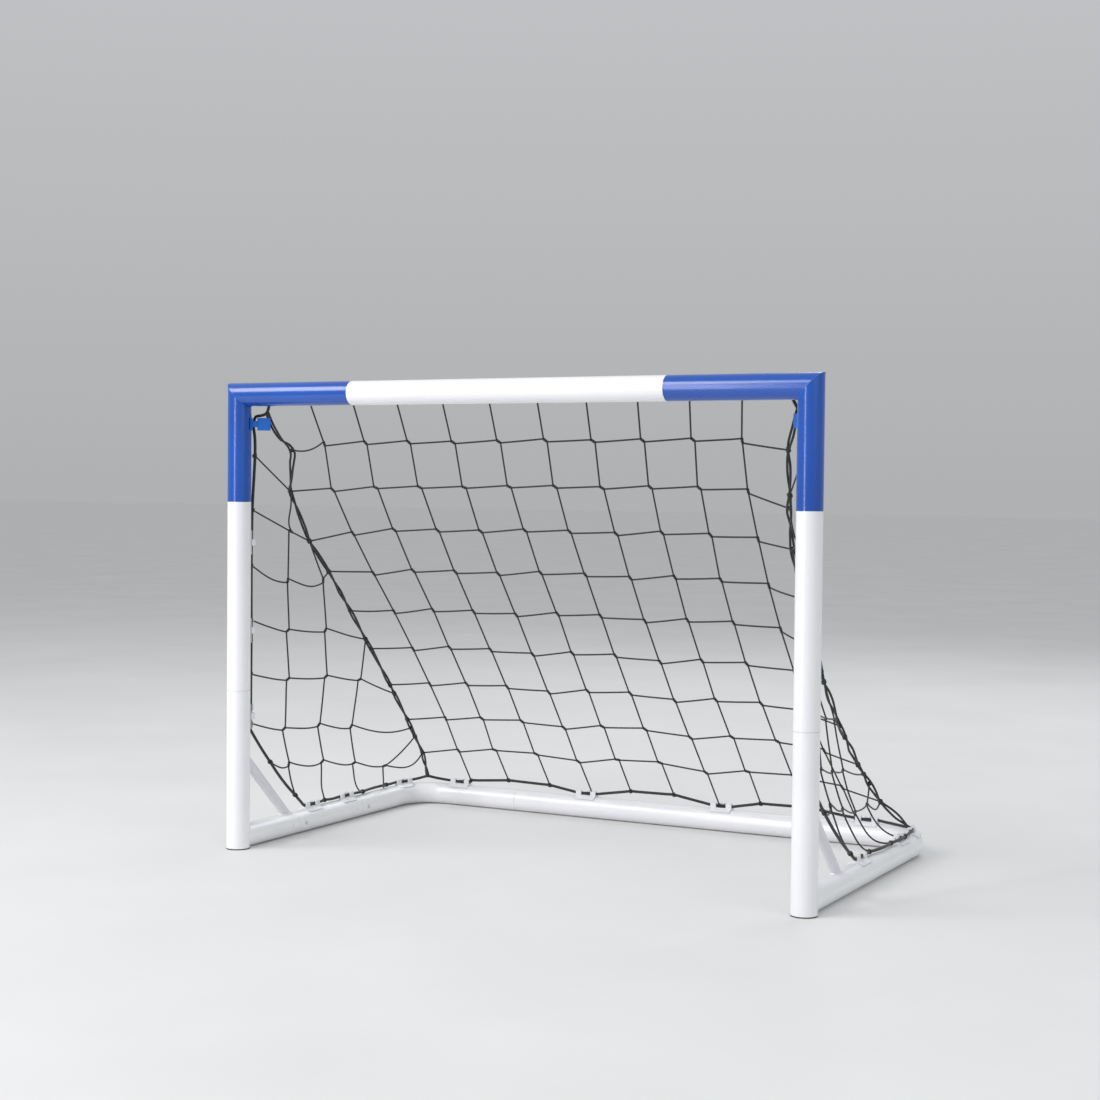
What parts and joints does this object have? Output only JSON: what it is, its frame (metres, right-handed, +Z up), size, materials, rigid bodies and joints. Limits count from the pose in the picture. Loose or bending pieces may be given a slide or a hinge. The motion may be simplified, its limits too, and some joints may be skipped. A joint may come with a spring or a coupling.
{
  "type": "football goal frame",
  "caption": "Small free-standing football goal: push-together round-tube frame with blue top corners, a U-shaped ground frame, braced feet, rope clips and a laced net.",
  "frame": {"origin": "on the ground, at the middle of the goal's width and depth", "axes": "+X along the crossbar, +Y from the mouth to the back, +Z up"},
  "size_m": [1.2, 0.7, 0.895],
  "materials": {
    "white_paint": "gloss powder coat",
    "brace_paint": "gloss powder coat",
    "blue_paint": "gloss powder coat",
    "blue_core": "gloss",
    "blue_plastic": "gloss",
    "white_plastic": "satin",
    "cap_plastic": "matte",
    "sleeve_steel": "zinc plated",
    "rivet_metal": "painted over",
    "spring_steel": "bright",
    "button_steel": "bright",
    "net_cord": "twisted polyethylene cord",
    "net_rope": "braided rope"
  },
  "bodies": {
    "goal": {"crossbar_center": "white_paint", "left_bar_arm": "blue_paint", "right_bar_arm": "blue_paint", "left_post_arm": "blue_paint", "right_post_arm": "blue_paint", "left_corner_core": "blue_core", "right_corner_core": "blue_core", "left_upper_post": "white_paint", "right_upper_post": "white_paint", "left_lower_post": "white_paint", "right_lower_post": "white_paint", "post_end_caps": "cap_plastic", "left_foot_stub": "white_paint", "right_foot_stub": "white_paint", "left_foot_brace": "brace_paint", "right_foot_brace": "brace_paint", "left_side_tube": "white_paint", "right_side_tube": "white_paint", "left_rear_corner": "white_paint", "right_rear_corner": "white_paint", "rear_tube": "white_paint", "bar_sleeves": "sleeve_steel", "post_sleeves": "sleeve_steel", "ground_sleeves": "sleeve_steel", "sleeve_rivets": "rivet_metal", "button_springs": "spring_steel", "bar_net_clips": "white_plastic", "corner_net_clips": "blue_plastic", "post_net_clips": "white_plastic", "left_ground_clips": "white_plastic", "right_ground_clips": "white_plastic", "rear_ground_clips": "white_plastic", "corner_hooks": "blue_plastic", "rear_net": "net_cord", "left_side_net": "net_cord", "right_side_net": "net_cord", "border_rope": "net_rope", "seam_ropes": "net_rope"},
    "left_bar_button": {"left_bar_button": "button_steel"},
    "right_bar_button": {"right_bar_button": "button_steel"},
    "left_arm_button": {"left_arm_button": "button_steel"},
    "right_arm_button": {"right_arm_button": "button_steel"},
    "left_post_button": {"left_post_button": "button_steel"},
    "right_post_button": {"right_post_button": "button_steel"},
    "left_foot_button": {"left_foot_button": "button_steel"},
    "right_foot_button": {"right_foot_button": "button_steel"},
    "left_side_button": {"left_side_button": "button_steel"},
    "right_side_button": {"right_side_button": "button_steel"},
    "left_rear_button": {"left_rear_button": "button_steel"},
    "right_rear_button": {"right_rear_button": "button_steel"}
  },
  "joints": [
    {"name": "left_bar_button_press", "type": "slide", "parent": "goal", "child": "left_bar_button", "axis": [0, -1, 0], "range_m": [0, 0.004], "stiffness_N_per_m": 1500},
    {"name": "right_bar_button_press", "type": "slide", "parent": "goal", "child": "right_bar_button", "axis": [0, -1, 0], "range_m": [0, 0.004], "stiffness_N_per_m": 1500},
    {"name": "left_arm_button_press", "type": "slide", "parent": "goal", "child": "left_arm_button", "axis": [0, -1, 0], "range_m": [0, 0.004], "stiffness_N_per_m": 1500},
    {"name": "right_arm_button_press", "type": "slide", "parent": "goal", "child": "right_arm_button", "axis": [0, -1, 0], "range_m": [0, 0.004], "stiffness_N_per_m": 1500},
    {"name": "left_post_button_press", "type": "slide", "parent": "goal", "child": "left_post_button", "axis": [0, -1, 0], "range_m": [0, 0.004], "stiffness_N_per_m": 1500},
    {"name": "right_post_button_press", "type": "slide", "parent": "goal", "child": "right_post_button", "axis": [0, -1, 0], "range_m": [0, 0.004], "stiffness_N_per_m": 1500},
    {"name": "left_foot_button_press", "type": "slide", "parent": "goal", "child": "left_foot_button", "axis": [-1, 0, 0], "range_m": [0, 0.004], "stiffness_N_per_m": 1500},
    {"name": "right_foot_button_press", "type": "slide", "parent": "goal", "child": "right_foot_button", "axis": [1, 0, 0], "range_m": [0, 0.004], "stiffness_N_per_m": 1500},
    {"name": "left_side_button_press", "type": "slide", "parent": "goal", "child": "left_side_button", "axis": [-1, 0, 0], "range_m": [0, 0.004], "stiffness_N_per_m": 1500},
    {"name": "right_side_button_press", "type": "slide", "parent": "goal", "child": "right_side_button", "axis": [1, 0, 0], "range_m": [0, 0.004], "stiffness_N_per_m": 1500},
    {"name": "left_rear_button_press", "type": "slide", "parent": "goal", "child": "left_rear_button", "axis": [0, -0.7071, 0.7071], "range_m": [0, 0.004], "stiffness_N_per_m": 1500},
    {"name": "right_rear_button_press", "type": "slide", "parent": "goal", "child": "right_rear_button", "axis": [0, -0.7071, 0.7071], "range_m": [0, 0.004], "stiffness_N_per_m": 1500}
  ]
}
